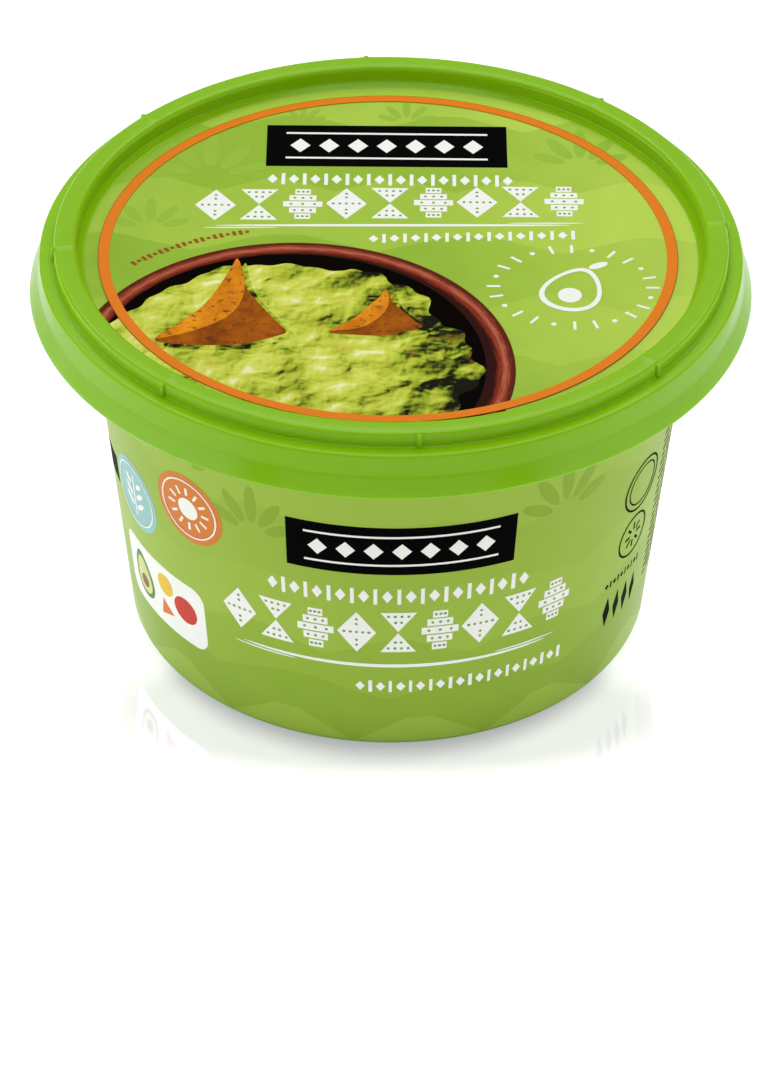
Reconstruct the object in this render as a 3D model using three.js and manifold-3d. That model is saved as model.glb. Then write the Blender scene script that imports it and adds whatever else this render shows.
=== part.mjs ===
// Round snap-lid tub for a chilled dip, shut, standing on its foot.
// Millimetres, +Z up. The origin is the centre of the foot, and the front of the pack faces -Y.
import * as THREE from 'three';
import * as BufferGeometryUtils from 'three/addons/utils/BufferGeometryUtils.js';
import Module from 'manifold-3d';

// Whole pack
const SEGMENTS = 72; // facets round the axis
const ARC_STEPS = 3; // facets across a rounded edge
const WALL = 0.8; // thickness of the moulded plastic
const CLEARANCE = 0.3; // gap that the two pieces keep where they meet

// Tub
const FOOT_RADIUS = 37.3;
const FOOT_ROUND = 0.6; // rounding of the foot's outer edge
const FOOT_RING_INNER_RADIUS = 33.6;
const BASE_RECESS = 0.9; // height of the base above the foot ring
const BASE_RECESS_RUN = 0.8; // radial run of the recess's sloping side
const TAPER = 0.0964; // radius gained by the wall for each millimetre of height
const SHOULDER_Z = 54.2; // where the wall steps out to carry the rim
const SHOULDER_RISE = 1.4;
const RIM_FLANGE_Z = 57.1; // underside of the flange that the lid snaps over
const RIM_FLANGE_THICKNESS = 0.7;
const RIM_FLANGE_RADIUS = 47.6;

// Lid, from the middle outwards
const PANEL_Z = 58.25; // the sunk middle that carries the print
const PANEL_FILLET = 0.85;
const RING_INNER_RADIUS = 43.75;
const RING_TOP_Z = 61.4;
const RING_INNER_ROUND = 0.85;
const RING_OUTER_ROUND = 0.7;
const RING_OUTER_RADIUS = 46.95;
const LEDGE_Z = 59.1;
const LEDGE_FILLET = 0.25;
const LEDGE_ROUND = 0.45;
const SKIRT_TOP_RADIUS = 49.0;
const BAND_RADIUS = 49.25; // where the upright band ends and the skirt flares out
const BAND_Z = 55.9;
const SKIRT_RADIUS = 50.5;
const SKIRT_Z = 53.1;
const SKIRT_ROUND = 0.35;

// Grip ribs in the corner between the ring and the ledge
const RIB_COUNT = 8;
const RIB_RADIUS = 0.42;
const RIB_TOP_Z = 61.2;
const RIB_LENGTH = 2.4;
const FIRST_RIB_DEGREES = 4.9; // measured from +X towards +Y
const RIB_SIDES = 10;

const wasm = await Module();
wasm.setup();

const tubRadius = (z) => FOOT_RADIUS + TAPER * z;

// Points of a circular arc in a profile, with angles in degrees from the radial direction.
function arc(r, z, radius, from, to) {
  return Array.from({ length: ARC_STEPS + 1 }, (_, step) => {
    const angle = THREE.MathUtils.degToRad(from + ((to - from) * step) / ARC_STEPS);
    return [r + radius * Math.cos(angle), z + radius * Math.sin(angle)];
  });
}

// A solid of revolution about +Z, from a profile of [radius, height] pairs that runs from the
// axis at the bottom, round the outside, to the axis at the top.
function turned(profile) {
  const points = profile.map(([r, z]) => new THREE.Vector2(r, z));
  return new THREE.LatheGeometry(points, SEGMENTS).rotateX(Math.PI / 2);
}

function toManifold(geometry) {
  const bare = geometry.clone();
  bare.deleteAttribute('normal');
  bare.deleteAttribute('uv');
  const merged = BufferGeometryUtils.mergeVertices(bare, 1e-4);
  const mesh = new wasm.Mesh({
    numProp: 3,
    vertProperties: new Float32Array(merged.attributes.position.array),
    triVerts: new Uint32Array(merged.index.array),
  });
  mesh.merge();
  return new wasm.Manifold(mesh);
}

function toGeometry(manifold) {
  const { vertProperties, triVerts } = manifold.getMesh();
  const geometry = new THREE.BufferGeometry();
  geometry.setAttribute('position', new THREE.BufferAttribute(vertProperties, 3));
  geometry.setIndex(new THREE.BufferAttribute(triVerts, 1));
  geometry.computeVertexNormals();
  return geometry;
}

function piece(name, manifold, color, roughness) {
  const material = new THREE.MeshStandardMaterial({ color, roughness, metalness: 0 });
  const mesh = new THREE.Mesh(toGeometry(manifold), material);
  mesh.name = name;
  return mesh;
}

// The tub and the dip in it, as one solid, because the shut pack can't be seen into. Its upright
// rim stands in the hollow ring of the lid, and its flange carries the lid's ledge.
function makeTub() {
  const rimOuter = RING_OUTER_RADIUS - WALL - CLEARANCE;
  const rimInner = RING_INNER_RADIUS + WALL + CLEARANCE;
  const rimTop = RING_TOP_Z - WALL - CLEARANCE;
  const fillTop = PANEL_Z - WALL - CLEARANCE;
  const flangeTop = RIM_FLANGE_Z + RIM_FLANGE_THICKNESS;
  return toManifold(turned([
    [0, BASE_RECESS],
    [FOOT_RING_INNER_RADIUS - BASE_RECESS_RUN, BASE_RECESS],
    [FOOT_RING_INNER_RADIUS, 0],
    ...arc(tubRadius(FOOT_ROUND) - FOOT_ROUND, FOOT_ROUND, FOOT_ROUND, -90, 0),
    [tubRadius(SHOULDER_Z), SHOULDER_Z],
    [rimOuter, SHOULDER_Z + SHOULDER_RISE],
    [rimOuter, RIM_FLANGE_Z],
    [RIM_FLANGE_RADIUS, RIM_FLANGE_Z],
    [RIM_FLANGE_RADIUS, flangeTop],
    [rimOuter, flangeTop],
    [rimOuter, rimTop],
    [rimInner, rimTop],
    [rimInner, fillTop],
    [0, fillTop],
  ]));
}

// The underside of the lid's shell, from the axis out to the skirt's foot.
function lidUnderside() {
  return [
    [0, PANEL_Z - WALL],
    [RING_INNER_RADIUS + WALL, PANEL_Z - WALL],
    [RING_INNER_RADIUS + WALL, RING_TOP_Z - WALL],
    [RING_OUTER_RADIUS - WALL, RING_TOP_Z - WALL],
    [RING_OUTER_RADIUS - WALL, LEDGE_Z - WALL],
    [SKIRT_TOP_RADIUS - WALL, LEDGE_Z - WALL],
    [BAND_RADIUS - WALL, BAND_Z],
    [SKIRT_RADIUS - WALL - SKIRT_ROUND / 2, SKIRT_Z],
  ];
}

// The top of the lid's shell, from the skirt's foot in to the axis.
function lidTop() {
  return [
    ...arc(SKIRT_RADIUS - SKIRT_ROUND, SKIRT_Z + SKIRT_ROUND, SKIRT_ROUND, -90, 0),
    [BAND_RADIUS, BAND_Z],
    ...arc(SKIRT_TOP_RADIUS - LEDGE_ROUND, LEDGE_Z - LEDGE_ROUND, LEDGE_ROUND, 5, 90),
    [RING_OUTER_RADIUS + LEDGE_FILLET, LEDGE_Z],
    [RING_OUTER_RADIUS, LEDGE_Z + LEDGE_FILLET],
    ...arc(RING_OUTER_RADIUS - RING_OUTER_ROUND, RING_TOP_Z - RING_OUTER_ROUND,
      RING_OUTER_ROUND, 0, 90),
    ...arc(RING_INNER_RADIUS + RING_INNER_ROUND, RING_TOP_Z - RING_INNER_ROUND,
      RING_INNER_ROUND, 90, 180),
    ...arc(RING_INNER_RADIUS - PANEL_FILLET, PANEL_Z + PANEL_FILLET, PANEL_FILLET, 0, -90),
    [0, PANEL_Z],
  ];
}

function makeRib(index) {
  const angle = THREE.MathUtils.degToRad(FIRST_RIB_DEGREES + (index * 360) / RIB_COUNT);
  const rib = new THREE.CapsuleGeometry(
    RIB_RADIUS, RIB_LENGTH - 2 * RIB_RADIUS, ARC_STEPS, RIB_SIDES);
  rib.rotateX(Math.PI / 2);
  rib.translate(RING_OUTER_RADIUS, 0, RIB_TOP_Z - RIB_LENGTH / 2);
  rib.rotateZ(angle);
  return toManifold(rib);
}

// The lid: a sunk printed panel, a raised ring, a ledge with ribs, and a skirt that hangs clear
// of the tub's wall.
function makeLid() {
  let lid = toManifold(turned([...lidUnderside(), ...lidTop()]));
  for (let index = 0; index < RIB_COUNT; index += 1) lid = lid.add(makeRib(index));
  return lid;
}

const pack = new THREE.Group();
pack.add(piece('tub', makeTub(), 0x96b646, 0.4));
pack.add(piece('lid', makeLid(), 0x8cc02f, 0.35));

export default pack;
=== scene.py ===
# %% [markdown]
# # A shut dip tub with a printed lid
#
# The object is a round tapered tub for a chilled dip, closed by a press-fit lid. Both are thin
# mouldings in polypropylene, and printed films cover the wall and the lid's sunk middle.
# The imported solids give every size, so this lesson first loads them and keeps their box.
# Everything is in metres, with the foot's centre at the origin and the front towards -Y.

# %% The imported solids
import math

import bmesh
import bpy
from mathutils import Matrix, Vector


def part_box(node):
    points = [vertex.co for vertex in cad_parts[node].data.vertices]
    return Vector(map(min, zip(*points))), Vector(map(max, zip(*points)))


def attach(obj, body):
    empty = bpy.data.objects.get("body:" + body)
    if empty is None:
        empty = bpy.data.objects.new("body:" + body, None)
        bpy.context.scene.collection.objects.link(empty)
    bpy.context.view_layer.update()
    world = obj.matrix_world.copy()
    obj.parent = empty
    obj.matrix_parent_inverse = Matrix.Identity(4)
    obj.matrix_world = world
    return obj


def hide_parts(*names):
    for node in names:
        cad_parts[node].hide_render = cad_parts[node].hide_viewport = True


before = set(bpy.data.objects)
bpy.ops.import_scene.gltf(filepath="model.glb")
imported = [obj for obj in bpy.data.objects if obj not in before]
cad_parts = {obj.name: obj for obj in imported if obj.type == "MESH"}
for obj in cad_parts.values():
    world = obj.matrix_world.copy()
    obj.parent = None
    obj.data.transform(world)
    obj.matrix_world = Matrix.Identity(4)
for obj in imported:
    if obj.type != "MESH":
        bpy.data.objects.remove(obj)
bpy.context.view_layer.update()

MM = 0.001
for node in ("tub", "lid"):
    low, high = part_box(node)
    print(node, "spans", [round(c / MM, 2) for c in low], "to", [round(c / MM, 2) for c in high])

# %% [markdown]
# ## Camera
#
# The photograph looks down on the tub from about 38 degrees. The circles of the foot, the rim
# and the lid fix the distance and the lens: a long lens, as in product photography, so the far
# side of the lid is hardly smaller than the near side. The camera leans by 0.6 degrees.

# %% Camera
TARGET = Vector((0.399, 0.0, 7.56)) * MM
DISTANCE = 692.7 * MM
ELEVATION = math.radians(37.6055)
LEAN = math.radians(0.6)
LENS = 158.12  # millimetres, for a 36 mm sensor along the picture's long side

away = Vector((0, -math.cos(ELEVATION), math.sin(ELEVATION)))
aim = Matrix.Rotation(math.pi / 2 - ELEVATION, 4, "X") @ Matrix.Rotation(LEAN, 4, "Z")
bpy.ops.object.camera_add(location=TARGET + away * DISTANCE, rotation=aim.to_euler())
camera = bpy.context.object
camera.data.lens = LENS
camera.data.sensor_width = 36
camera.data.clip_start = 0.01
bpy.context.scene.camera = camera
print("camera stands", round(camera.location.length / MM), "mm from the foot")

# %% [markdown]
# ## Modelling by turning
#
# The tub and the lid are round, so each starts as half of its section: one vertex is extruded
# from point to point, its corners are rounded with a vertex bevel, and the wire is spun about
# the axis. Small helpers do what the mouse would do: pick places, draw the wire, and spin it.

# %% Picking, and starting a mesh
def leave_all():
    """Go to object mode with nothing selected, because operators act on what is selected."""
    if bpy.context.mode != "OBJECT":
        bpy.ops.object.mode_set(mode="OBJECT")
    bpy.ops.object.select_all(action="DESELECT")


def select_only(piece):
    """Select one object and make it the active one."""
    leave_all()
    piece.select_set(True)
    bpy.context.view_layer.objects.active = piece


def pick(piece, rule, part="verts"):
    """Select the vertices, edges or faces whose middle follows a rule, in edit mode."""
    kinds = {"verts": "VERT", "edges": "EDGE", "faces": "FACE"}
    bpy.ops.mesh.select_mode(type=kinds[part])
    bpy.ops.mesh.select_all(action="DESELECT")
    mesh = bmesh.from_edit_mesh(piece.data)
    for item in getattr(mesh, part):
        places = [item.co] if part == "verts" else [v.co for v in item.verts]
        if rule(sum(places, Vector()) / len(places)):
            item.select_set(True)
    mesh.select_flush_mode()
    bmesh.update_edit_mesh(piece.data)


def new_mesh(name):
    """An empty mesh object in edit mode."""
    leave_all()
    bpy.ops.mesh.primitive_plane_add(size=MM)
    piece = bpy.context.object
    piece.name = piece.data.name = name
    bpy.ops.object.mode_set(mode="EDIT")
    bpy.ops.mesh.select_mode(type="VERT")
    return piece


# %% Drawing a section and spinning it
ARC_SEGMENTS = 6  # facets of a rounded corner
ROUND_STEPS = 360  # a facet each degree, 0.9 mm at the skirt


def draw_section(name, points, corners=()):
    """Extrude a vertex through [radius, height] points in millimetres, and round some corners.

    Each corner is (index of its point, how far from it the rounding starts)."""
    piece = new_mesh(name)
    bpy.ops.mesh.merge(type="CENTER")
    places = [Vector((r, 0, z)) * MM for r, z in points]
    bpy.ops.transform.translate(value=places[0])
    for start, end in zip(places, places[1:]):
        bpy.ops.mesh.extrude_region_move(TRANSFORM_OT_translate={"value": end - start})
    for index, reach in corners:
        pick(piece, lambda co: (co - places[index]).length < MM / 100)
        bpy.ops.mesh.bevel(offset=reach * MM, segments=ARC_SEGMENTS, affect="VERTICES")
    bpy.ops.mesh.select_all(action="SELECT")
    return piece


def start_at(piece, degrees):
    """Turn a section about the axis to the angle where its spin starts."""
    bpy.ops.object.mode_set(mode="OBJECT")
    piece.rotation_euler = (0, 0, math.radians(degrees))
    bpy.ops.object.transform_apply(location=False, rotation=True, scale=False)
    bpy.ops.object.mode_set(mode="EDIT")


def spin(degrees, steps):
    """Spin the selected wire about the axis, anticlockwise seen from above."""
    bpy.ops.mesh.spin(steps=steps, angle=-math.radians(degrees), center=(0, 0, 0), axis=(0, 0, 1))


# %% Turning a part of a mesh, closing it up, and modifiers
def turn_by(degrees):
    """Turn what is selected about the axis, anticlockwise seen from above."""
    bpy.ops.transform.rotate(
        value=-math.radians(degrees), orient_axis="Z", center_override=(0, 0, 0))


def close_up():
    """Merge doubled vertices and turn all the faces outwards."""
    bpy.ops.mesh.select_all(action="SELECT")
    bpy.ops.mesh.remove_doubles(threshold=MM / 1000)
    bpy.ops.mesh.normals_make_consistent(inside=False)


def apply_modifier(piece, kind, **settings):
    """Add a modifier with its settings and apply it."""
    select_only(piece)
    modifier = piece.modifiers.new(kind.lower(), kind)
    for name, value in settings.items():
        setattr(modifier, name, value)
    bpy.ops.object.modifier_apply(modifier=modifier.name)


# %% [markdown]
# ## The tub
#
# An injection-moulded cup, about 0.8 mm thick, with straight tapering walls so that tubs nest
# and leave the mould. It stands on a ring 3 mm wide, and the middle of the base is raised by
# about 1 mm so that it can't rock. A small mark in the middle is left by the mould's gate. The
# shut tub is one solid with the dip in it, and its rim stands up into the lid's hollow ring.

# %% Tub
FOOT_RADIUS = 37.3
FOOT_RING_INNER = 33.6
BASE_Z = 0.9
GATE_RADIUS, GATE_Z = 1.1, 1.15
TAPER = 0.0964
SHOULDER_Z, SHOULDER_TOP_Z = 54.2, 55.6
FLANGE_RADIUS, FLANGE_Z, FLANGE_TOP_Z = 47.6, 57.1, 57.8
RIM_OUTER, RIM_INNER, RIM_TOP_Z = 45.85, 44.85, 60.3
FILL_Z = 57.15  # top of the dip, just under the lid's middle


def wall_radius(z):
    """Outer radius of the tub's wall at a height, in millimetres."""
    return FOOT_RADIUS + TAPER * z


tub = draw_section(
    "tub_moulding",
    [(0, GATE_Z), (GATE_RADIUS, GATE_Z), (GATE_RADIUS + 0.5, BASE_Z),
     (FOOT_RING_INNER - 0.8, BASE_Z), (FOOT_RING_INNER, 0), (FOOT_RADIUS, 0),
     (wall_radius(SHOULDER_Z), SHOULDER_Z),
     (RIM_OUTER, SHOULDER_TOP_Z), (RIM_OUTER, FLANGE_Z), (FLANGE_RADIUS, FLANGE_Z),
     (FLANGE_RADIUS, FLANGE_TOP_Z), (RIM_OUTER, FLANGE_TOP_Z), (RIM_OUTER, RIM_TOP_Z),
     (RIM_INNER, RIM_TOP_Z), (RIM_INNER, FILL_Z), (0, FILL_Z)],
    corners=((5, 0.6), (6, 0.5), (3, 0.3)),
)
spin(360, ROUND_STEPS)
close_up()
leave_all()
print("tub has", len(tub.data.vertices), "vertices")

# %% [markdown]
# ## The lid
#
# Also a thin moulding: a sunk middle that carries the print, a raised ring that grips the tub's
# rim, a narrow ledge, and a skirt with an upright band and a flared foot. A small slope leads
# from the ring down to the middle. The profile is drawn once round its section. One eighth is
# spun, with fine steps where a rib stands, because the rib's mass leaves a faint ridge across
# the ring's top as the plastic cools. The ridge is raised by proportional editing.

# %% Lid section, one eighth of the turn
LID_WALL = 0.8
PANEL_Z = 58.25
SLOPE_INNER, SLOPE_TOP_Z = 42.95, 59.0
RING_INNER, RING_OUTER, RING_TOP_Z = 43.75, 46.95, 61.3
RIDGE, RIDGE_REACH = 0.1, 1.6
LEDGE_RADIUS, LEDGE_Z = 49.0, 59.1
BAND_RADIUS, BAND_Z = 49.25, 55.9
SKIRT_RADIUS, SKIRT_Z = 50.5, 53.1
RIBS = 8
EIGHTH = 360 / RIBS
FIRST_RIB = 4.9  # degrees from +X

lid = draw_section(
    "lid_moulding",
    [(0, PANEL_Z - LID_WALL), (RING_INNER + LID_WALL, PANEL_Z - LID_WALL),
     (RING_INNER + LID_WALL, RING_TOP_Z - 0.7), (RING_OUTER - LID_WALL, RING_TOP_Z - 0.7),
     (RING_OUTER - LID_WALL, LEDGE_Z - LID_WALL), (LEDGE_RADIUS - LID_WALL, LEDGE_Z - LID_WALL),
     (BAND_RADIUS - LID_WALL, BAND_Z), (SKIRT_RADIUS - 0.95, SKIRT_Z + 0.15),
     (SKIRT_RADIUS - 0.6, SKIRT_Z), (SKIRT_RADIUS, SKIRT_Z), (SKIRT_RADIUS, SKIRT_Z + 0.4),
     (BAND_RADIUS, BAND_Z), (LEDGE_RADIUS, LEDGE_Z), (RING_OUTER, LEDGE_Z),
     (RING_OUTER, RING_TOP_Z), (RING_INNER, RING_TOP_Z), (RING_INNER, SLOPE_TOP_Z),
     (SLOPE_INNER, PANEL_Z), (0, PANEL_Z)],
    corners=((9, 0.25), (10, 0.1), (11, 0.35), (12, 0.45), (13, 0.3), (14, 0.6), (15, 0.85),
             (16, 0.2), (17, 0.2)),
)
start_at(lid, FIRST_RIB - EIGHTH / 2)
for degrees, steps in ((19.5, 20), (2, 5), (1, 8), (1, 8), (2, 5), (19.5, 20)):
    spin(degrees, steps)
close_up()
RIB_LINE = Vector((math.cos(math.radians(FIRST_RIB)), math.sin(math.radians(FIRST_RIB)), 0))
ACROSS = Vector((-RIB_LINE.y, RIB_LINE.x, 0))
pick(lid, lambda co: abs(co.dot(ACROSS)) < MM / 100 and co.z > (RING_TOP_Z - 0.3) * MM)
bpy.ops.transform.translate(
    value=(0, 0, RIDGE * MM), use_proportional_edit=True,
    proportional_edit_falloff="SHARP", proportional_size=RIDGE_REACH * MM)
print("an eighth of the lid has", len(bmesh.from_edit_mesh(lid.data).faces), "faces")

# %% Lid, the other seven eighths
def in_first_eighth(co):
    """Whether a place lies in the eighth that was spun."""
    start = math.radians(FIRST_RIB - EIGHTH / 2)
    return 0 <= (math.atan2(co.y, co.x) - start) % math.tau <= math.radians(EIGHTH)


for copy in range(1, RIBS):
    pick(lid, in_first_eighth, "faces")
    bpy.ops.mesh.duplicate()
    turn_by(copy * EIGHTH)
close_up()
leave_all()
print("lid has", len(lid.data.vertices), "vertices")

# %% [markdown]
# ## Grip ribs
#
# Eight small half-round ribs stand in the corner between the ring and the ledge. They stiffen
# the ring and keep stacked lids from sticking. One is a cylinder with a bevelled top, the rest
# are turned copies, and a union makes them one moulding with the lid.

# %% Ribs
RIB_RADIUS = 0.42
RIB_TOP_Z = 61.2
RIB_FOOT_Z = 58.7  # inside the ledge

leave_all()
bpy.ops.mesh.primitive_cylinder_add(
    vertices=24, radius=RIB_RADIUS * MM, depth=(RIB_TOP_Z - RIB_FOOT_Z) * MM,
    location=(RING_OUTER * MM, 0, (RIB_TOP_Z + RIB_FOOT_Z) / 2 * MM))
ribs = bpy.context.object
bpy.ops.object.transform_apply()
bpy.ops.object.mode_set(mode="EDIT")
pick(ribs, lambda co: co.z > (RIB_TOP_Z - 0.01) * MM, "faces")
bpy.ops.mesh.bevel(offset=0.32 * MM, segments=5, affect="EDGES")
bpy.ops.mesh.select_all(action="SELECT")
turn_by(FIRST_RIB)
for _ in range(1, RIBS):
    bpy.ops.mesh.duplicate()
    turn_by(EIGHTH)
apply_modifier(lid, "BOOLEAN", operation="UNION", object=ribs, solver="EXACT")
bpy.data.objects.remove(ribs)


def smooth(piece, degrees=30):
    """Shade smoothly, with sharp edges where faces meet at more than an angle."""
    select_only(piece)
    bpy.ops.object.shade_smooth_by_angle(angle=math.radians(degrees))


smooth(tub)
smooth(lid)
print("lid with ribs has", len(lid.data.polygons), "faces")

# %% [markdown]
# ## Label films
#
# Both printed grounds are in-mould labels: a film of polypropylene is printed, laid in the
# mould, and fuses with the plastic that is injected behind it. So there is no glue line and
# only a cut edge. The lid's film is a disc that ends at the foot of the corner's slope. The
# wall's film meets itself at the back, at a seam. Each has a thickness of its own.

# %% Films
FILM = 0.06
EMBED = 0.02  # how far a film reaches into what it lies on
PANEL_FILM_RADIUS = 42.8
FILM_TOP_Z = 53.4
FILM_FOOT_Z = 0.75
SEAM_DEGREES = 0.7

panel_film = draw_section(
    "panel_film", [(0, PANEL_Z - EMBED), (PANEL_FILM_RADIUS, PANEL_Z - EMBED)])
spin(360, ROUND_STEPS)
close_up()
apply_modifier(panel_film, "SOLIDIFY", thickness=(FILM + EMBED) * MM, offset=1)

wall_film = draw_section(
    "wall_film",
    [(wall_radius(z) - EMBED, z) for z in (FILM_FOOT_Z, 10, 20, 30, 40, 50, FILM_TOP_Z)])
start_at(wall_film, 90 + SEAM_DEGREES / 2)
spin(360 - SEAM_DEGREES, ROUND_STEPS)
close_up()
apply_modifier(wall_film, "SOLIDIFY", thickness=(FILM + EMBED) * MM, offset=1)
for film in (panel_film, wall_film):
    smooth(film)
    print(film.name, "has", len(film.data.polygons), "faces")

# %% [markdown]
# ## Printing
#
# A print is flat fields of ink. Here each field is a thin closed sheet, 0.015 mm above the one
# below, so that no two surfaces share a place, and the inks stay crisp from any side. Shapes
# are added to one sheet in edit mode, then the sheet is laid on the panel, or bent round a
# circle and shrunk on to the wall's film. Sheets that overlap have layers of their own.

# %% Drawing on a sheet
INK = 0.015
PANEL_PRINT_Z = PANEL_Z + FILM


def sheet(name):
    """An empty sheet in edit mode, ready for shapes."""
    piece = new_mesh(name)
    bpy.ops.mesh.delete(type="VERT")
    return piece


def shape(x, y, width, height, sides=4, turn=0.0, start=45.0, narrow=0.0, fill="NGON"):
    """Add a flat polygon to the sheet. Four sides from 45 degrees is a bar, from 0 a diamond.

    Narrow makes its top slimmer than its foot, as an egg is."""
    radius = math.sqrt(0.5) if (sides == 4 and start == 45.0) else 0.5
    bpy.ops.mesh.primitive_circle_add(vertices=sides, radius=radius * MM, fill_type=fill)
    turn_by(start)
    bpy.ops.transform.resize(value=(width, height, 1), center_override=(0, 0, 0))
    if narrow:
        mesh = bmesh.from_edit_mesh(bpy.context.object.data)
        for vertex in (v for v in mesh.verts if v.select):
            vertex.co.x *= 1 - narrow * vertex.co.y / (height / 2 * MM)
    turn_by(turn)
    bpy.ops.transform.translate(value=(x * MM, y * MM, 0))


def ring(x, y, outer, inner, stretch=1.0, sides=64, turn=0.0, narrow=0.0):
    """A flat ring, from two circles that are bridged."""
    for radius in (outer, inner):
        shape(x, y, 2 * radius, 2 * radius * stretch, sides, turn, 0, narrow, fill="NOTHING")
    mesh = bmesh.from_edit_mesh(bpy.context.object.data)
    for edge in mesh.edges:
        edge.select_set(edge.is_wire)
    bmesh.update_edit_mesh(bpy.context.object.data)
    bpy.ops.mesh.bridge_edge_loops()
    bpy.ops.mesh.normals_make_consistent(inside=False)


# %% Laying a sheet on the panel
def lay_on_panel(piece, layer):
    """Give a flat sheet its thickness on the panel's film."""
    select_only(piece)
    piece.location.z = (PANEL_PRINT_Z + layer * INK) * MM
    bpy.ops.object.transform_apply()
    apply_modifier(piece, "SOLIDIFY", thickness=(layer * INK + EMBED / 2) * MM, offset=-1)
    print(piece.name, "has", len(piece.data.polygons), "faces on the panel")


# %% Laying a sheet on the wall
WALL_REFERENCE = 40.0  # radius at which the wall's print is laid out flat
FORMER_RADIUS = 43.5  # of the circle that bends it, just wider than the wall's top

leave_all()
bpy.ops.curve.primitive_bezier_circle_add(radius=FORMER_RADIUS * MM, rotation=(0, 0, math.pi / 2))
former = bpy.context.object
former.name = "wall_former"
former.data.resolution_u = 64
bpy.ops.object.transform_apply()
bpy.ops.object.mode_set(mode="EDIT")
bpy.ops.curve.select_all(action="SELECT")
bpy.ops.curve.switch_direction()
bpy.ops.object.mode_set(mode="OBJECT")


def along(azimuth):
    """Place along the flat print for an azimuth in degrees, where 270 is the front."""
    return math.radians(azimuth - 270) * WALL_REFERENCE


def lay_on_wall(piece, layer, step=1.5):
    """Cut a flat sheet into narrow strips, bend it round the tub and shrink it on to the film."""
    mesh = piece.data
    bpy.ops.object.mode_set(mode="OBJECT")
    lowest, highest = min(v.co.x for v in mesh.vertices), max(v.co.x for v in mesh.vertices)
    bpy.ops.object.mode_set(mode="EDIT")
    cut = math.ceil(lowest / (step * MM)) * step * MM
    while cut < highest:
        bpy.ops.mesh.select_all(action="SELECT")
        bpy.ops.mesh.bisect(plane_co=(cut, 0, 0), plane_no=(1, 0, 0))
        cut += step * MM
    select_only(piece)
    piece.rotation_euler = (math.pi / 2, 0, 0)
    piece.scale.x = FORMER_RADIUS / WALL_REFERENCE
    bpy.ops.object.transform_apply()
    apply_modifier(piece, "CURVE", object=former, deform_axis="POS_X")
    apply_modifier(piece, "SHRINKWRAP", target=wall_film, wrap_method="NEAREST_SURFACEPOINT",
                   wrap_mode="ABOVE_SURFACE", offset=layer * INK * MM)
    apply_modifier(piece, "SOLIDIFY", thickness=(layer * INK + EMBED / 2) * MM, offset=-1)
    print(piece.name, "has", len(mesh.polygons), "faces on the wall")

# %% [markdown]
# ## Materials
#
# A material is a small tree of nodes. One function adds a node, sets it, links it and gives
# back its output. Another turns a colour as seen on screen (sRGB, in hex) to the linear values
# that light adds up in.

# %% Helpers for materials
POLYPROPYLENE = 1.49  # index of refraction, of the moulded plastic and of the films


def linear(code, share=1.0):
    """An sRGB hex colour as linear RGBA, or a share of its light."""
    parts = [int(code[i:i + 2], 16) / 255 for i in (1, 3, 5)]
    light = [p / 12.92 if p <= 0.04045 else ((p + 0.055) / 1.055) ** 2.4 for p in parts]
    return (*(share * value for value in light), 1.0)


def add(tree, kind, sockets, out=0, stops=(), **settings):
    """Add a node and give back one output. A socket takes a value or another node's output."""
    new = tree.nodes.new("ShaderNode" + kind)
    for name, value in settings.items():
        setattr(new, name, value)
    for name, value in sockets.items():
        if isinstance(value, bpy.types.NodeSocket):
            tree.links.new(value, new.inputs[name])
        else:
            new.inputs[name].default_value = value
    for number, (position, code) in enumerate(stops):
        elements = new.color_ramp.elements
        stop = elements[number] if number < 2 else elements.new(position)
        stop.position, stop.color = position, linear(code)
    return new.outputs[out]


def material(name, roughness, specular):
    """A new material: its tree, its shader, and the piece's own coordinates.

    Specular is the gloss level, where 0.5 is all that the index of refraction gives."""
    new = bpy.data.materials.new(name)
    new.use_nodes = True
    shader = new.node_tree.nodes["Principled BSDF"]
    shader.inputs["Roughness"].default_value = roughness
    shader.inputs["IOR"].default_value = POLYPROPYLENE
    shader.inputs["Specular IOR Level"].default_value = specular
    return new, new.node_tree, shader, add(new.node_tree, "TexCoord", {}, "Object")


def per_mm(size):
    """The scale of a texture whose features are a size in millimetres."""
    return 1 / (size * MM)


def grained(tree, shader, place, size, depth):
    """Roughen a surface by a fine grain, whose size and depth are in millimetres."""
    grain = add(tree, "TexNoise", {"Vector": place, "Scale": per_mm(size), "Detail": 2.0})
    bump = add(tree, "Bump", {"Height": grain, "Distance": depth * MM})
    tree.links.new(bump, shader.inputs["Normal"])

# %% [markdown]
# ### Moulded polypropylene
#
# The tub and lid are injection-moulded polypropylene, coloured through in leaf green. The mould
# was finely sanded, so the surface is satin: highlights are soft but still follow each edge.
# The plastic lets some light in, which comes out again a millimetre or two away, greener. So
# shaded corners and the thin skirt glow a little. The grain is 0.4 mm, very shallow.

# %% Plastic
def moulded(name, colour, roughness, glow):
    """Satin moulded polypropylene of a colour, with a share of light that goes through it."""
    new, tree, shader, place = material(name, roughness, 0.25)
    flow = add(tree, "TexNoise", {"Vector": place, "Scale": per_mm(14), "Detail": 3.0})
    drift = add(tree, "Mix", {0: flow, 6: linear(colour, 0.94), 7: linear(colour)}, 2,
                data_type="RGBA")
    tree.links.new(drift, shader.inputs["Base Color"])
    shader.inputs["Subsurface Weight"].default_value = glow
    shader.inputs["Subsurface Radius"].default_value = (0.7, 1.6, 0.15)
    shader.inputs["Subsurface Scale"].default_value = 1.5 * MM
    grained(tree, shader, place, 0.4, 0.004)
    return new


lid_plastic = moulded("lid_polypropylene", "#88BF04", 0.22, 0.2)
tub_plastic = moulded("tub_polypropylene", "#7EAE22", 0.34, 0.0)
print(lid_plastic.name, "has", len(lid_plastic.node_tree.nodes), "nodes")

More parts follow.
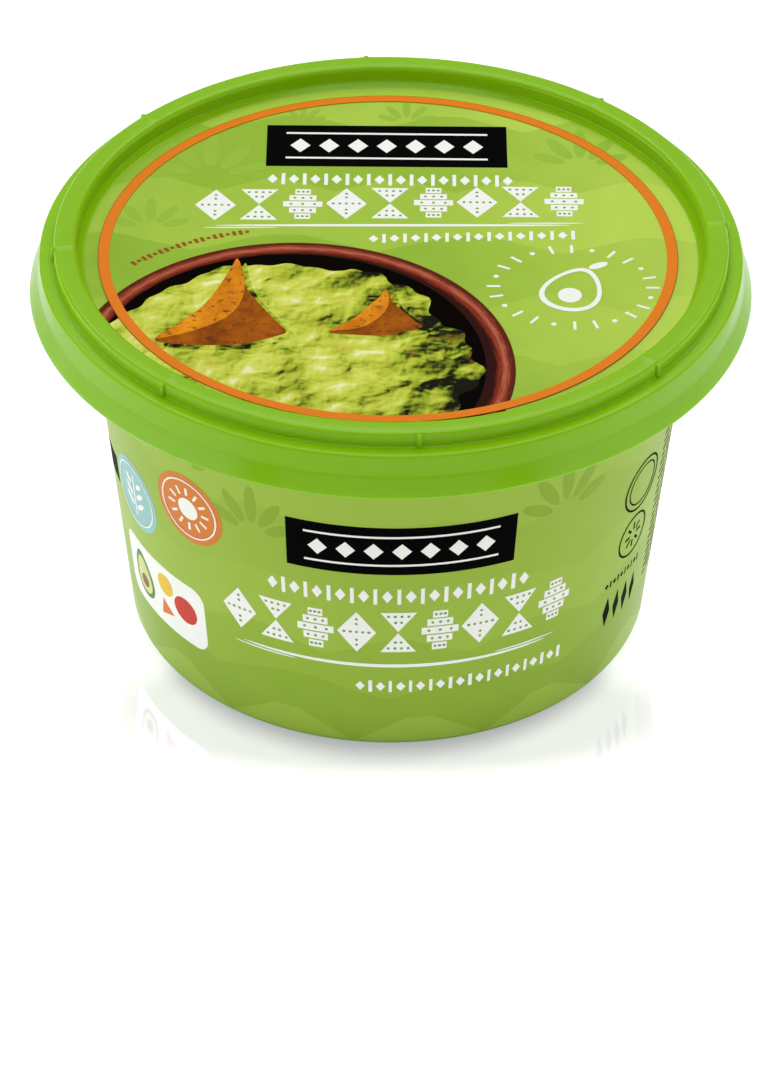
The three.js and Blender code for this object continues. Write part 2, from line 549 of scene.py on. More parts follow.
# %% [markdown]
# ### Printed films
#
# The film's ground is printed in two close greens, which meet in broken zigzag hills. A hill
# line is a triangle wave with its tops cut off: everything below it changes tone. The print
# lies under clear film, so its gloss is the film's. The studio's light was set so that the
# films hardly mirror it, and their gloss level is low.

# %% Zigzag tones
FILM_ROUGHNESS = 0.38


def hills(tree, across, up, lines):
    """Tones of zigzag hills: each line is (height, period, rise, shift, tone), in millimetres."""
    tone = 0.0
    for height, period, rise, shift, step in lines:
        moved = add(tree, "Math", {0: across, 1: shift * MM}, operation="ADD")
        saw = add(tree, "Math", {0: moved, 1: period / 2 * MM}, operation="PINGPONG")
        top = add(tree, "Math", {0: saw, 1: period * 0.4 * MM}, operation="MINIMUM")
        edge = add(tree, "Math", {0: top, 1: 2 * rise / period, 2: height * MM},
                   operation="MULTIPLY_ADD")
        below = add(tree, "Math", {0: up, 1: edge}, operation="LESS_THAN")
        tone = add(tree, "Math", {0: below, 1: step, 2: tone}, operation="MULTIPLY_ADD")
    return tone


def printed_ground(name, light, dark, lines, on_wall):
    """The film's ground: two greens in zigzag hills, with a faint mottle of ink.

    On the panel a painted light makes the greens darker at the left and paler towards the right
    edge."""
    new, tree, shader, place = material(name, FILM_ROUGHNESS, 0.12)
    across, up = (add(tree, "SeparateXYZ", {0: place}, axis) for axis in ("X", "Y"))
    if on_wall:
        backward = add(tree, "Math", {0: up, 1: -1.0}, operation="MULTIPLY")
        angle = add(tree, "Math", {0: across, 1: backward}, operation="ARCTAN2")
        across = add(tree, "Math", {0: angle, 1: WALL_REFERENCE * MM}, operation="MULTIPLY")
        up = add(tree, "SeparateXYZ", {0: place}, "Z")
    tone = hills(tree, across, up, lines)
    if not on_wall:
        # Painted light: the panel's greens are darker at the left and paler towards the right edge.
        fade = add(tree, "MapRange", {"Value": across, "From Min": 5 * MM, "From Max": 36 * MM,
                                      "To Min": 0.22, "To Max": -0.35})
        tone = add(tree, "Math", {0: tone, 1: fade}, operation="ADD")
    mottle = add(tree, "TexNoise", {"Vector": place, "Scale": per_mm(6), "Detail": 3.0})
    tone = add(tree, "Math", {0: mottle, 1: 0.3, 2: tone}, operation="MULTIPLY_ADD", use_clamp=True)
    colour = add(tree, "Mix", {0: tone, 6: linear(light), 7: linear(dark)}, 2, data_type="RGBA")
    tree.links.new(colour, shader.inputs["Base Color"])
    grained(tree, shader, place, 0.8, 0.003)
    return new


panel_ground = printed_ground(
    "panel_film_print", "#B8D450", "#84AE22",
    ((31, 22, 5, 3, 0.4), (15, 17, 4, 8, -0.25), (0, 26, 5, 2, 0.3), (-14, 19, 5, 6, -0.15),
     (-27, 23, 5, 0, 0.2)), on_wall=False)
wall_ground = printed_ground(
    "wall_film_print", "#A1BF46", "#88AA2D",
    ((38, 24, 5, 6, 0.25), (27, 31, 4, 2, -0.15), (17, 21, 4, 9, 0.35), (9, 27, 4, 0, 0.3),
     (0.5, 20, 6, 5, -0.5)), on_wall=True)
print(wall_ground.name, "has", len(wall_ground.node_tree.nodes), "nodes")

# %% Moulded pieces and films ride with the pack
def dress(piece, look):
    """Give a piece its material and its slot, and let it ride with the pack."""
    piece.data.materials.clear()
    piece.data.materials.append(look)
    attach(piece, "root")
    print(piece.name, "is of", look.name)


dress(tub, tub_plastic)
dress(lid, lid_plastic)
dress(panel_film, panel_ground)
dress(wall_film, wall_ground)
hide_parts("tub")
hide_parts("lid")

# %% [markdown]
# ### Inks
#
# The inks are solid colours under the same clear film. Gravure printing leaves each field a
# little uneven, so every ink has a faint mottle of about 1.5 mm. The black and the dark ink
# have hardly any gloss, because they stay deep in the photograph where a gloss would grey them.

# %% Inks
def ink(name, colour, fade=0.92, roughness=FILM_ROUGHNESS, specular=0.1):
    """A solid ink under clear film. Fade is the light of its thinnest spots."""
    new, tree, shader, place = material(name, roughness, specular)
    mottle = add(tree, "TexNoise", {"Vector": place, "Scale": per_mm(1.5), "Detail": 3.0})
    colour = add(tree, "Mix", {0: mottle, 6: linear(colour, fade), 7: linear(colour)}, 2,
                 data_type="RGBA")
    tree.links.new(colour, shader.inputs["Base Color"])
    grained(tree, shader, place, 0.8, 0.003)
    return new


MATT = {"roughness": 0.5, "specular": 0.01}  # for black and dark inks
white_ink = ink("white_ink", "#F4F6EF", fade=0.97)
black_ink = ink("black_ink", "#030303", **MATT)
orange_ink = ink("orange_ink", "#EA7E0C")
hairline_ink = ink("hairline_ink", "#9A5208")
tone_ink = ink("tone_ink", "#99BE3C")
wall_tone_ink = ink("wall_tone_ink", "#8FAE34")
dot_ink = ink("dot_ink", "#7DA046")
teal_ink = ink("teal_ink", "#98C9C4")
apricot_ink = ink("apricot_ink", "#DA8034")
dark_ink = ink("dark_ink", "#0C1404", **MATT)
print("inks:", [look.name for look in bpy.data.materials if look.name.endswith("ink")])

# %% [markdown]
# ## The panel's print
#
# From the back of the lid to the front: a black block with a white border, a row of small
# marks, a large white display row, a brush line and a second small row. All of them are plain
# folk motifs, as on woven cloth: diamonds, hourglasses and stepped bars.

# %% Motifs
TRIANGLE_WIDTH, TRIANGLE_HEIGHT = 0.866, 0.75  # of a triangle inscribed in a circle of diameter 1


def triangle(x, y, width, height, turn=0.0):
    """An upright triangle whose box is centred on a place."""
    drop = height / TRIANGLE_HEIGHT * 0.125 * math.cos(math.radians(turn))
    shape(x, y - drop, width / TRIANGLE_WIDTH, height / TRIANGLE_HEIGHT,
          sides=3, start=0, turn=turn)


def leaf_fan(x, y, size, leaves=5):
    """A fan of pointed leaves, as a tonal plant."""
    for number in range(leaves):
        lean = (number - (leaves - 1) / 2) * 32
        reach = size * (1.0 - abs(lean) / 260)
        tip = math.radians(90 - lean)
        middle = (reach + 0.25 * size) / 2
        shape(x + middle * math.cos(tip), y + middle * math.sin(tip),
              size * 0.2, reach - 0.25 * size, sides=14, start=0, turn=-lean)


def small_row(x0, x1, y0, y1, height, pitch):
    """A row of small marks: strokes and diamonds by turns."""
    count = round((x1 - x0) / pitch)
    for number in range(count + 1):
        part = number / count
        x, y = x0 + (x1 - x0) * part, y0 + (y1 - y0) * part
        if number % 2:
            shape(x, y, pitch * 0.34, height)
        else:
            shape(x, y, pitch * 0.95, height * 0.8, start=0)


# %% Display row
def folk_row(x0, x1, y0, y1, height, count):
    """White display motifs in a row: diamond, hourglass, stepped bars. Returns places for dots."""
    width = (x1 - x0) / count
    places = []
    for number in range(count):
        part = (number + 0.5) / count
        x, y = x0 + (x1 - x0) * part, y0 + (y1 - y0) * part
        kind = number % 3
        if kind == 0:
            shape(x, y, width * 0.94, height, start=0)
            places += [(x, y + height * k) for k in (-0.32, -0.2, 0.2, 0.32)]
            places += [(x + width * k, y) for k in (-0.3, -0.15, 0, 0.15, 0.3)]
        elif kind == 1:
            for side in (-1, 1):
                triangle(x, y + side * height * 0.255, width * 0.86, height * 0.48,
                         turn=0 if side < 0 else 180)
                for level, row in ((0.4, (-0.24, -0.08, 0.08, 0.24)), (0.25, (-0.07, 0.07))):
                    places += [(x + width * k, y + side * height * level) for k in row]
        else:
            for level, part_width in (
                    (-0.4, 0.36), (-0.2, 0.62), (0, 0.9), (0.2, 0.62), (0.4, 0.36)):
                shape(x, y + level * height, width * part_width, height * 0.17)
                places += [(x + width * part_width * k, y + level * height) for k in (-0.3, 0, 0.3)]
    return places


# %% Small dots, rays, brush line, block border and sun ring
def small_dots(places):
    """A dot at each place of a display row."""
    for x, y in places:
        shape(x, y, 0.45, 0.45, sides=10, start=0)


def rays(x, y, reach, width, count):
    """Short strokes round a place, each pointing away from it."""
    for number in range(count):
        turn = number * 360 / count
        angle = math.radians(turn)
        shape(x + reach * math.cos(angle), y + reach * math.sin(angle), 1.3, width, turn=turn)


def brush_line(x0, x1, y0, y1, width):
    """A stroke of a flat brush: one long thin lens, with a thinner one beside each end."""
    length = x1 - x0
    lean = math.degrees(math.atan2(y1 - y0, length))
    for start, end, rise, part in (
            (0.03, 0.97, 0.0, 1.0), (0.0, 0.2, -0.9, 0.4), (0.8, 1.0, 0.85, 0.45)):
        centre = (start + end) / 2
        shape(x0 + length * centre, y0 + (y1 - y0) * centre + rise * width,
              length * (end - start), width * part, sides=32, start=0, turn=lean)


def block_border(x, y, width, height, count):
    """A row of white diamonds between two rules, for the black block."""
    for number in range(count):
        place = x + width * ((number + 0.5) / count - 0.5)
        shape(place, y, width / count * 0.7, height * 0.4, start=0)
    for side in (-1, 1):
        shape(x, y + side * height * 0.36, width, height * 0.05)


def sun_ring(x, y, width, height, count):
    """Short rays round an oval, every third one a dot."""
    for number in range(count):
        angle = math.tau * number / count
        px, py = x + width / 2 * math.cos(angle), y + height / 2 * math.sin(angle)
        if number % 3 == 2:
            shape(px, py, 0.75, 0.75, sides=12, start=0)
        else:
            shape(px, py, 1.9, 0.42, turn=math.degrees(math.atan2(py - y, px - x)))


# %% Panel print
tones = sheet("panel_tone_leaves")
for x, y, size in ((-26, 18, 12), (-34, 5, 8), (2, 33.2, 6), (27, 22, 10), (-13, 33.2, 5)):
    leaf_fan(x, y, size)
lay_on_panel(tones, 1)
dress(tones, tone_ink)

black_block = sheet("panel_black_block")
shape(-0.8, 27.0, 34.6, 10.8, turn=0.3)
lay_on_panel(black_block, 1)
dress(black_block, black_ink)

panel_white = sheet("panel_white_marks")
block_border(-0.8, 27.0, 29, 9.0, 7)
small_row(-17, 16.5, 18.2, 18.2, 2.9, 1.55)
dots = folk_row(-28, 27.5, 11.2, 13.2, 7.8, 9)
brush_line(-26.5, 27, 6.1, 7.1, 0.6)
small_row(-2.5, 25.5, 3.2, 4.6, 2.2, 1.45)
SUN_X, SUN_Y = 25.2, -8.2
sun_ring(SUN_X, SUN_Y, 22.0, 18.6, 24)
ring(SUN_X, SUN_Y - 0.6, 4.1, 3.45, stretch=1.32, turn=-20, narrow=0.3)
shape(SUN_X - 0.5, SUN_Y - 2.0, 3.3, 3.5, sides=32, start=0)
shape(SUN_X + 3.6, SUN_Y + 5.3, 1.3, 3.0, sides=14, start=0, turn=-62)
lay_on_panel(panel_white, 2)
dress(panel_white, white_ink)

panel_dots = sheet("panel_small_dots")
small_dots(dots)
lay_on_panel(panel_dots, 3)
dress(panel_dots, dot_ink)

# %% [markdown]
# ## The picture of the dip
#
# The front left of the panel shows a brown bowl of green dip from above, with corn chips, cut
# off by the panel's edge. It is a printed picture, so it stays flat: a disc for the rim, one
# for the shaded inside, a lumpy one for the dip, and triangles for the chips. The lumps are
# painted by a texture: the difference between a height and its shifted copy looks lit from
# one side, as embossing does.

# %% Bowl, as printed
BOWL_X, BOWL_Y, BOWL_RADIUS, BOWL_THICK = -13.0, -28.0, 30.0, 2.9
PICTURE = (FILM_ROUGHNESS, 0.03)  # roughness and gloss level of the picture


def from_place(tree, place, x, y, stretch=1.0):
    """Distance from a place on a flat piece, in millimetres.

    Stretch makes its circles wide ovals."""
    moved = add(tree, "Mapping", {"Vector": place, "Location": (-x / stretch, -y, 0),
                                  "Scale": (1000 / stretch, 1000, 0)})
    return add(tree, "VectorMath", {0: moved}, "Value", operation="LENGTH")


def bowl_material():
    """Glazed red-brown earthenware, as printed: dark edges and a paler, streaked crown."""
    new, tree, shader, place = material("picture_bowl", *PICTURE)
    reach = from_place(tree, place, BOWL_X, BOWL_Y)
    outwards = add(tree, "Math", {0: reach, 1: BOWL_RADIUS - BOWL_THICK}, operation="SUBTRACT")
    across = add(tree, "Math", {0: outwards, 1: BOWL_THICK}, operation="DIVIDE")
    x, y = (add(tree, "SeparateXYZ", {0: place}, axis) for axis in ("X", "Y"))
    x = add(tree, "Math", {0: x, 1: BOWL_X * MM}, operation="SUBTRACT")
    y = add(tree, "Math", {0: y, 1: BOWL_Y * MM}, operation="SUBTRACT")
    turned = add(tree, "Math", {0: y, 1: x}, operation="ARCTAN2")
    polar = add(tree, "CombineXYZ", {"X": across, "Y": turned})
    streaks = add(tree, "TexNoise", {"Vector": polar, "Scale": 7.0, "Detail": 6.0,
                                     "Roughness": 0.75})
    across = add(tree, "Math", {0: streaks, 1: 0.8, 2: across}, operation="MULTIPLY_ADD")
    across = add(tree, "Math", {0: across, 1: 0.25}, operation="SUBTRACT")
    colour = add(tree, "ValToRGB", {"Fac": across}, stops=(
        (0.2, "#2C0A04"), (1.0, "#5C1E10"), (0.4, "#7A2814"), (0.55, "#983E26"), (0.68, "#B4664C"),
        (0.78, "#98442C")))
    tree.links.new(colour, shader.inputs["Base Color"])
    return new


# %% Chips, as printed
def chip_material(name, light, dark):
    """Fried corn chip, as printed: an orange-brown crust with dark specks and blisters."""
    new, tree, shader, place = material(name, *PICTURE)
    crust = add(tree, "TexNoise", {"Vector": place, "Scale": per_mm(5), "Detail": 6.0,
                                   "Roughness": 0.7})
    crust = add(tree, "MapRange", {"Value": crust, "From Min": 0.35, "From Max": 0.65})
    colour = add(tree, "Mix", {0: crust, 6: linear(dark), 7: linear(light)}, 2, data_type="RGBA")
    pits = add(tree, "TexNoise", {"Vector": place, "Scale": per_mm(1.1), "Detail": 4.0,
                                  "Roughness": 0.7})
    speck = add(tree, "MapRange", {"Value": pits, "From Min": 0.55, "From Max": 0.68,
                                   "To Max": 0.9})
    colour = add(tree, "Mix", {0: speck, 6: colour, 7: linear("#5E2606")}, 2, data_type="RGBA")
    tree.links.new(colour, shader.inputs["Base Color"])
    return new


# %% [markdown]
# The dip in the picture is mashed by fork: soft folds, rounded chunks and small crumbs. Three
# textures add up to one height, at 7, 5 and 1.3 mm. Its slope towards the light gives the
# brightness, and a ramp turns that into greens, from dark gaps to pale wet glints.

# %% Mashed dip, as printed
def dip_height(tree, at):
    """Height of the mash: soft folds with rounded chunks and crumbs on them."""
    stir = add(tree, "TexNoise", {"Vector": at, "Scale": per_mm(4), "Detail": 1.0}, "Color")
    stirred = add(tree, "VectorMath", {0: stir, 1: (4 * MM, 4 * MM, 0), 2: at},
                  operation="MULTIPLY_ADD")
    folds = add(tree, "TexNoise", {"Vector": at, "Scale": per_mm(7), "Detail": 3.0})
    chunks = add(tree, "TexVoronoi", {"Vector": stirred, "Scale": per_mm(5), "Smoothness": 0.5},
                 "Distance", feature="SMOOTH_F1", voronoi_dimensions="2D")
    crumbs = add(tree, "TexNoise", {"Vector": stirred, "Scale": per_mm(1.3), "Detail": 3.0})
    height = add(tree, "Math", {0: chunks, 1: -0.55, 2: folds}, operation="MULTIPLY_ADD")
    return add(tree, "Math", {0: crumbs, 1: 0.22, 2: height}, operation="MULTIPLY_ADD")


def dip_material(name, dim):
    """Mashed green dip, as printed: lumps lit from the back left, dark in the bowl's depth."""
    new, tree, shader, place = material(name, *PICTURE)
    towards_light = add(tree, "Mapping", {"Vector": place, "Location": (-0.3 * MM, 0.4 * MM, 0)})
    here = dip_height(tree, place)
    slope = add(tree, "Math", {0: here, 1: dip_height(tree, towards_light)}, operation="SUBTRACT")
    depth = add(tree, "Math", {0: here, 1: 0.8, 2: 0.24 - dim}, operation="MULTIPLY_ADD")
    light = add(tree, "Math", {0: slope, 1: 2.4, 2: depth}, operation="MULTIPLY_ADD")
    away = from_place(tree, place, BOWL_X - 10, BOWL_Y + 4)
    shade = add(tree, "MapRange", {"Value": away, "From Min": 20.0, "From Max": 34.0,
                                   "To Max": -0.48})
    light = add(tree, "Math", {0: light, 1: shade}, operation="ADD")
    colour = add(tree, "ValToRGB", {"Fac": light}, stops=(
        (0.04, "#101200"), (1.0, "#EAECB0"), (0.14, "#4A560C"), (0.28, "#90A026"),
        (0.46, "#B8C43E"), (0.66, "#CBD454"), (0.84, "#D9DC6E")))
    tint = add(tree, "TexNoise", {"Vector": place, "Scale": per_mm(2.5), "Detail": 3.0})
    tint = add(tree, "MapRange", {"Value": tint, "From Min": 0.58, "From Max": 0.68, "To Max": 0.3})
    colour = add(tree, "Mix", {0: tint, 6: colour, 7: linear("#C9A632")}, 2, data_type="RGBA")
    tree.links.new(colour, shader.inputs["Base Color"])
    return new


# %% Picture materials
picture_looks = {
    "bowl": bowl_material(), "hollow": ink("picture_hollow", "#050200", **MATT),
    "dip": dip_material("picture_dip", 0.0), "shadow": dip_material("picture_dip_shadow", 0.24),
    "lit": chip_material("picture_chip_lit", "#EA981A", "#C6700C"),
    "shade": chip_material("picture_chip_shade", "#B05E0A", "#6E3404"),
}
print("picture materials:", [look.name for look in picture_looks.values()])

# %% [markdown]
# The picture's outlines are polygons. A chip needs bent edges, because a fried corn triangle
# curls: each straight edge is drawn as a shallow bow. Whatever runs past the panel's edge is
# cut off there with a cylinder, as the printer's blade cuts the film.

# %% Outlines for the picture
def outline(points):
    """A polygon through points."""
    bpy.ops.mesh.primitive_circle_add(vertices=len(points), radius=MM, fill_type="NGON")
    mesh = bmesh.from_edit_mesh(bpy.context.object.data)
    face = next(f for f in mesh.faces if f.select)
    for corner, (x, y) in zip(face.verts, points):
        corner.co = (x * MM, y * MM, 0)
    face.normal_update()
    if face.normal.z < 0:
        face.normal_flip()
    bmesh.update_edit_mesh(bpy.context.object.data)


def curved(corners, bends, steps=8):
    """Points round a shape whose edges bend: each edge's middle moves outwards by its bend."""
    points = []
    for (x0, y0), (x1, y1), bend in zip(corners, corners[1:] + corners[:1], bends):
        length = math.hypot(x1 - x0, y1 - y0)
        out_x, out_y = (y1 - y0) / length, -(x1 - x0) / length
        for step in range(steps):
            part = step / steps
            bow = 4 * part * (1 - part) * bend + 0.15 * math.sin(step * 5 + bend)
            points.append((x0 + (x1 - x0) * part + out_x * bow,
                           y0 + (y1 - y0) * part + out_y * bow))
    for _ in range(2):  # cut each corner off, twice, which rounds it
        pairs = list(zip(points, points[1:] + points[:1]))
        points = [(x0 + (x1 - x0) * part, y0 + (y1 - y0) * part)
                  for (x0, y0), (x1, y1) in pairs for part in (0.25, 0.75)]
    return points


def cut_to_panel(piece):
    """Keep only what lies inside the panel's edge."""
    leave_all()
    bpy.ops.mesh.primitive_cylinder_add(
        vertices=180, radius=(PANEL_FILM_RADIUS - 0.1) * MM, depth=4 * MM,
        location=(0, 0, PANEL_PRINT_Z * MM))
    cutter = bpy.context.object
    apply_modifier(piece, "BOOLEAN", operation="INTERSECT", object=cutter, solver="EXACT")
    bpy.data.objects.remove(cutter)


# %% [markdown]
# The rim, the bowl's shaded inside and the dip lie on each other like paper cut-outs. The
# inside sits a little to the back left in the rim, so the rim looks thicker at the right, where
# the eye sees down its inner wall.

# %% Bowl and dip
picture_rim = sheet("picture_bowl_rim")
shape(BOWL_X, BOWL_Y, 2 * BOWL_RADIUS, 2 * BOWL_RADIUS, sides=160, start=0)
lay_on_panel(picture_rim, 1)
picture_hollow = sheet("picture_bowl_inside")
inside = 2 * (BOWL_RADIUS - BOWL_THICK - 0.5)
shape(BOWL_X - 0.6, BOWL_Y + 0.5, inside, inside, sides=160, start=0)
lay_on_panel(picture_hollow, 2)

DIP_X, DIP_Y, DIP_RADIUS = BOWL_X - 1.3, BOWL_Y - 1.0, 25.6
picture_dip = sheet("picture_dip")
edge = []
for number in range(220):
    angle = math.tau * number / 220
    lumps = sum(size * math.sin(count * angle + shift)
                for size, count, shift in ((0.55, 7, 1), (0.4, 16, 2), (0.25, 37, 0)))
    reach = DIP_RADIUS + lumps * (1.7 if math.cos(angle) > 0.3 else 0.8)
    edge.append((DIP_X + reach * math.cos(angle), DIP_Y + reach * math.sin(angle)))
outline(edge)
lay_on_panel(picture_dip, 3)
for piece, look in ((picture_rim, "bowl"), (picture_hollow, "hollow"), (picture_dip, "dip")):
    cut_to_panel(piece)
    dress(piece, picture_looks[look])

# %% [markdown]
# Each chip is a curled triangle. Its broad side is in half shade, the long edge that curls up
# towards the light is bright, and its shadow is a darker patch of the same dip below it. So a
# chip takes three sheets, each on its own layer.

# %% Chips
CHIPS = (  # tip, left corner, right corner, bends of the left, lower and right edges, curl's width
    ((-21.5, -1.4), (-32.5, -22.0), (-13.6, -19.8), (-2.0, 2.2, -1.6), 4.4),
    ((-0.6, -9.0), (-8.6, -19.6), (4.8, -18.2), (-0.9, 1.5, -0.9), 2.8),
)
for layer, name in ((4, "shadow"), (5, "shade"), (6, "lit")):
    piece = sheet("picture_chip_" + name)
    for tip, left, right, bends, curl in CHIPS:
        if name == "shadow":
            outline(curved([(x + 1.2, y - 1.1) for x, y in (tip, left, right)], bends))
        elif name == "shade":
            outline(curved([tip, left, right], bends))
        else:
            outline(curved([tip, left], (bends[0], curl - bends[0])))
    lay_on_panel(piece, layer)
    dress(piece, picture_looks[name])

# %% [markdown]
# An orange line, 1.45 mm wide, runs round the panel and over the picture. Its outer side has a
# hairline where the line overlaps the green. It is printed 0.4 mm off the centre, as labels
# often are. The hairline's brown ink also prints a row of small marks along the bowl's rim.

# %% Orange line with its dark edge, and small marks along the bowl
LINE_X, LINE_OUTER, LINE_INNER = -0.42, 40.35, 38.9
MARKS_RADIUS = 33.4

orange_line = sheet("panel_orange_line")
ring(LINE_X, 0, LINE_OUTER, LINE_INNER, sides=240)
lay_on_panel(orange_line, 4)
dress(orange_line, orange_ink)

line_edge = sheet("panel_line_edge")
ring(LINE_X, 0, LINE_OUTER + 0.09, LINE_OUTER, sides=240)
for number in range(20):
    angle = math.radians(102.5 + number * 1.6)
    shape(BOWL_X + MARKS_RADIUS * math.cos(angle), BOWL_Y + MARKS_RADIUS * math.sin(angle),
          0.5, 1.0 if number % 3 else 0.5, turn=math.degrees(angle) - 90)
lay_on_panel(line_edge, 4)
dress(line_edge, hairline_ink)

# %% [markdown]
# ## The wall's print
#
# The wall repeats the panel's block and rows on the front. To their left stand two round
# seals and a white card, to their right dark rings and small marks. Seals and card get plain
# pictures of their own: a leaf, a sun, and a few ingredients. Each sheet is drawn flat, with
# its place along the wall worked out from an azimuth, and is then bent round the tub.

# %% Wall, grounds
wall_tones = sheet("wall_tone_leaves")
for azimuth, z, size in ((243, 36, 9), (228, 43.5, 6), (306, 38, 10), (322, 44, 6), (350, 42, 9),
                         (20, 41, 8), (55, 43, 7), (120, 41, 8), (150, 39, 9), (178, 43, 7)):
    leaf_fan(along((azimuth + 90) % 360 - 90), z, size)
lay_on_wall(wall_tones, 1)
dress(wall_tones, wall_tone_ink)

wall_block = sheet("wall_black_block")
shape(along(272.7), 36.8, 31.4, 8.7, turn=-0.4)
shape(along(194.5), 29.0, 5.2, 4.6)
lay_on_wall(wall_block, 2)
dress(wall_block, black_ink)

SUN_SEAL, LEAF_SEAL = along(227.5), along(208.0)
for name, x, z, look, slot in (("wall_apricot_seal", SUN_SEAL, 35.5, apricot_ink, "print_orange"),
                               ("wall_teal_seal", LEAF_SEAL, 29.5, teal_ink, "tub_label")):
    seal = sheet(name)
    shape(x, z, 12.1, 12.0, sides=72, start=0)
    lay_on_wall(seal, 2)
    dress(seal, look)

wall_card = sheet("wall_card")
shape(along(214.3), 14.3, 20.6, 11.4)
bpy.ops.mesh.bevel(offset=2.4 * MM, segments=8, affect="VERTICES")
lay_on_wall(wall_card, 2)
dress(wall_card, white_ink)

# %% Wall, white marks
wall_white = sheet("wall_white_marks")
block_border(along(272.7), 36.8, 26.5, 7.2, 7)
small_row(along(246.8), along(297.8), 28.3, 28.3, 2.9, 1.6)
dots = folk_row(along(234.5), along(310), 21.0, 22.0, 7.6, 9)
brush_line(along(237), along(306.5), 15.2, 14.9, 0.6)
small_row(along(264.5), along(308.5), 11.0, 11.0, 2.2, 1.45)
ring(SUN_SEAL, 35.5, 5.1, 4.85)
ring(LEAF_SEAL, 29.5, 5.2, 4.95)
shape(SUN_SEAL, 35.5, 3.6, 3.6, sides=32, start=0)
rays(SUN_SEAL, 35.5, 3.1, 0.4, 12)
for side in (-1, 1):
    for level, reach in ((-1.8, 2.6), (0.0, 2.4), (1.8, 1.9)):
        shape(LEAF_SEAL + side * 1.5, 29.8 + level, reach, 0.85, sides=14, start=0, turn=side * 38)
shape(LEAF_SEAL, 29.3, 0.35, 7.2)
lay_on_wall(wall_white, 3)
dress(wall_white, white_ink)

wall_dots = sheet("wall_small_dots")
small_dots(dots)
lay_on_wall(wall_dots, 4)
dress(wall_dots, dot_ink)

# %% Card's ingredients
CARD_SHAPES = (  # name, colour, layer, azimuth, height, size, sides, turn, narrowing
    ("card_avocado", "#4F8A3A", 3, 207.0, 14.3, (5.6, 8.0), 32, 12, 0.28),
    ("card_lime", "#E8C637", 3, 216.5, 16.6, (3.8, 3.8), 32, 0, 0),
    ("card_chip", "#DE7B32", 3, 216.0, 11.9, (4.0, 3.6), 3, 20, 0),
    ("card_tomato", "#CC3B2B", 3, 223.0, 14.6, (5.0, 4.6), 32, 0, 0),
    ("card_flesh", "#D3DF8C", 4, 207.0, 14.2, (4.3, 6.4), 32, 12, 0.28),
    ("card_stone", "#8A5A32", 5, 207.2, 13.1, (2.3, 2.3), 24, 0, 0),
)
for name, colour, layer, azimuth, z, (width, height), sides, turn, narrow in CARD_SHAPES:
    piece = sheet(name)
    shape(along(azimuth), z, width, height, sides=sides, start=0, turn=turn, narrow=narrow)
    lay_on_wall(piece, layer)
    dress(piece, ink(name + "_ink", colour))

# %% Dark marks at the right and round the back
wall_dark = sheet("wall_dark_marks")
ring(along(331.0), 33.0, 4.8, 4.45, stretch=0.92)
ring(along(331.0), 33.0, 3.7, 3.45, stretch=0.92)
ring(along(330.0), 24.0, 3.9, 3.55, stretch=0.94)
rays(along(330.0), 24.0, 1.6, 0.45, 8)
small_row(along(322), along(334.5), 17.7, 17.7, 1.2, 0.95)
for number in range(4):
    shape(along(323.2 + number * 3.6), 12.4, 1.7, 5.6, start=0)
lay_on_wall(wall_dark, 1)
dress(wall_dark, dark_ink)

fine_lines = sheet("wall_fine_lines")
for row in range(20):
    word = 341.0
    while word < 385 - (row * 7) % 5:
        length = 2.2 + (row * 5 + int(word)) % 4
        shape(along(word + length / 2), 36.8 - row * 1.35,
              math.radians(length) * WALL_REFERENCE, 0.5)
        word += length + 0.9
lay_on_wall(fine_lines, 1)
dress(fine_lines, dark_ink)
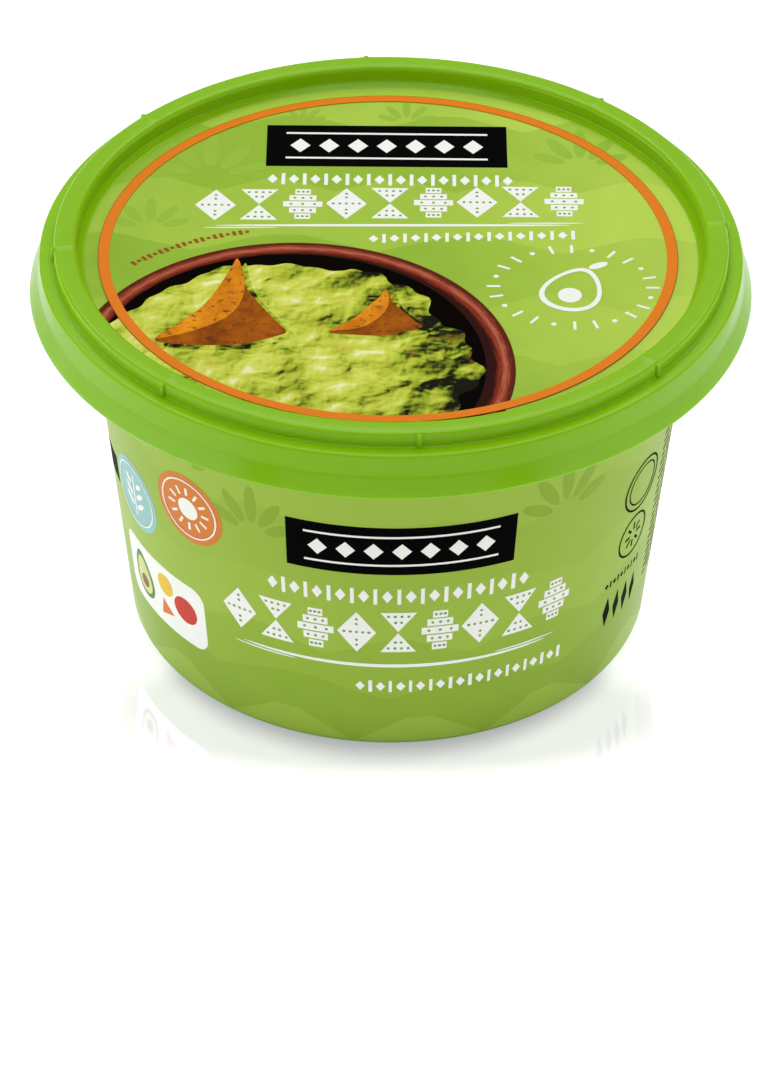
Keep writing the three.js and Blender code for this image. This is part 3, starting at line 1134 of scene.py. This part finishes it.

# %% [markdown]
# ## Floor and light
#
# The pack stands on white opal acrylic that glows, as on a product table lit from below, so the
# floor is white with a faint mirror image. Its glow is painted lower and cooler in a narrow ring
# round the foot and in a wide oval before it, as a painted shadow. Beyond the picture's lower
# edge the glow is weaker, so that it doesn't overlight the lid's rim. A wide panel behind the
# pack is what the floor mirrors. A long low soft box on each side draws the highlights along the
# rim and the skirt, two boxes above give the even light, and a low strip fills the front.

# %% Floor
def floor_material():
    """Glossy opal acrylic that glows, with a painted shadow before the foot: less glow, and cooler.
    """
    new, tree, shader, place = material("opal_acrylic", 0.05, 0.5)
    shader.inputs["IOR"].default_value = 3.5  # mirrors more than acrylic does, as in the photograph
    shader.inputs["Base Color"].default_value = linear("#777777")
    # Painted shadow: the glow drops in a ring round the foot and in a wide oval before it, and
    # turns cooler there.
    foot = from_place(tree, place, 0, -4.5)
    painted_foot_shadow = add(tree, "MapRange", {"Value": foot, "From Min": 32.5, "From Max": 38.5,
                                  "To Min": 0.42, "To Max": 0.76}, interpolation_type="SMOOTHSTEP")
    oval = from_place(tree, place, 0, -30, 3.0)
    painted_oval_shadow = add(tree, "MapRange", {"Value": oval, "From Min": 11.0, "From Max": 16.0,
                                 "To Max": 0.24}, interpolation_type="SMOOTHSTEP")
    back = add(tree, "SeparateXYZ", {0: place}, "Y")
    front = add(tree, "MapRange", {"Value": back, "From Min": -200 * MM, "From Max": -120 * MM,
                                   "To Min": 0.72, "To Max": 1.0})
    glow = add(tree, "Math", {0: painted_foot_shadow, 1: painted_oval_shadow}, operation="ADD")
    painted_shadow_tint = add(tree, "ValToRGB", {"Fac": glow}, stops=((0.3, "#E9E2FA"), (1.0, "#FFFFFF")))
    glow = add(tree, "Math", {0: glow, 1: front}, operation="MULTIPLY")
    tree.links.new(glow, shader.inputs["Emission Strength"])
    tree.links.new(painted_shadow_tint, shader.inputs["Emission Color"])
    return new


leave_all()
bpy.ops.mesh.primitive_plane_add(size=8)
floor = bpy.context.object
floor.name = "floor"
floor.data.materials.append(floor_material())
print("floor is", floor.dimensions.x, "m wide")

# %% Lights
SOFT_BOXES = (  # name, place, width, height in metres, watts
    ("light_above", (0, 0.45, 1.0), 1.2, 0.9, 7.3),
    ("light_left", (-0.74, -0.14, 0.2), 1.1, 0.32, 2.6),
    ("light_right", (0.74, -0.14, 0.2), 1.1, 0.32, 1.9),
    ("light_back", (0, 1.6, 1.2), 3.0, 1.4, 6.0),
    ("light_front_top", (0, -0.25, 1.1), 1.0, 0.7, 4.7),
    ("light_front_low", (0, -1.1, 0.36), 1.4, 0.12, 1.1),
)
for name, place, width, height, power in SOFT_BOXES:
    turn = (Vector(place) - Vector((0, 0, 0.04))).to_track_quat("Z", "Y").to_euler()
    bpy.ops.object.light_add(type="AREA", location=place, rotation=turn)
    light = bpy.context.object
    light.name = name
    light.data.shape = "RECTANGLE"
    light.data.size, light.data.size_y = width, height
    light.data.energy = power
    print(name, "gives", power, "W from", round(math.dist(place, (0, 0, 0)), 2), "m")

world = bpy.data.worlds.new("studio")
bpy.context.scene.world = world
world.use_nodes = True
background = world.node_tree.nodes["Background"]
background.inputs["Color"].default_value = linear("#FFFFFF")
background.inputs["Strength"].default_value = 0.02
bpy.context.scene.view_settings.view_transform = "Standard"

# %% Finish
bpy.data.objects.remove(former)
leave_all()
